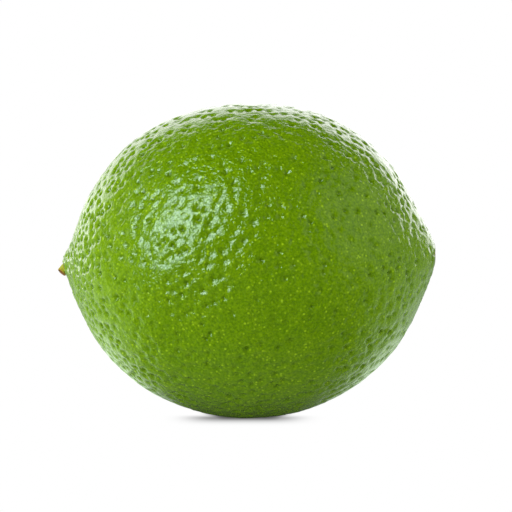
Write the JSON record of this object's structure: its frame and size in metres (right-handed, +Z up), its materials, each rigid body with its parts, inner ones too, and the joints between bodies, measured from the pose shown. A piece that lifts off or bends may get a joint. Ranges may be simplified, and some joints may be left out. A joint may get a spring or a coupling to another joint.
{
  "type": "lime",
  "caption": "Whole green lime lying on its side, with a blunt blossom end, a short neck and the dry button of its stem, for fruit displays, kitchens and scenes.",
  "frame": {"origin": "at the bottom, under the middle of the lime's outer box", "axes": "+X along the fruit towards its blossom end, the stem at -X; +Z up from the surface it rests on"},
  "size_m": [0.0654, 0.053, 0.0521],
  "materials": {
    "rind": "waxy, softly glossy citrus rind with small oil glands and pits",
    "dry_stem": "dry, matte stem tissue, brown where it was cut"
  },
  "bodies": {
    "root": {"fruit": "rind", "stem_button": "dry_stem"}
  },
  "joints": []
}
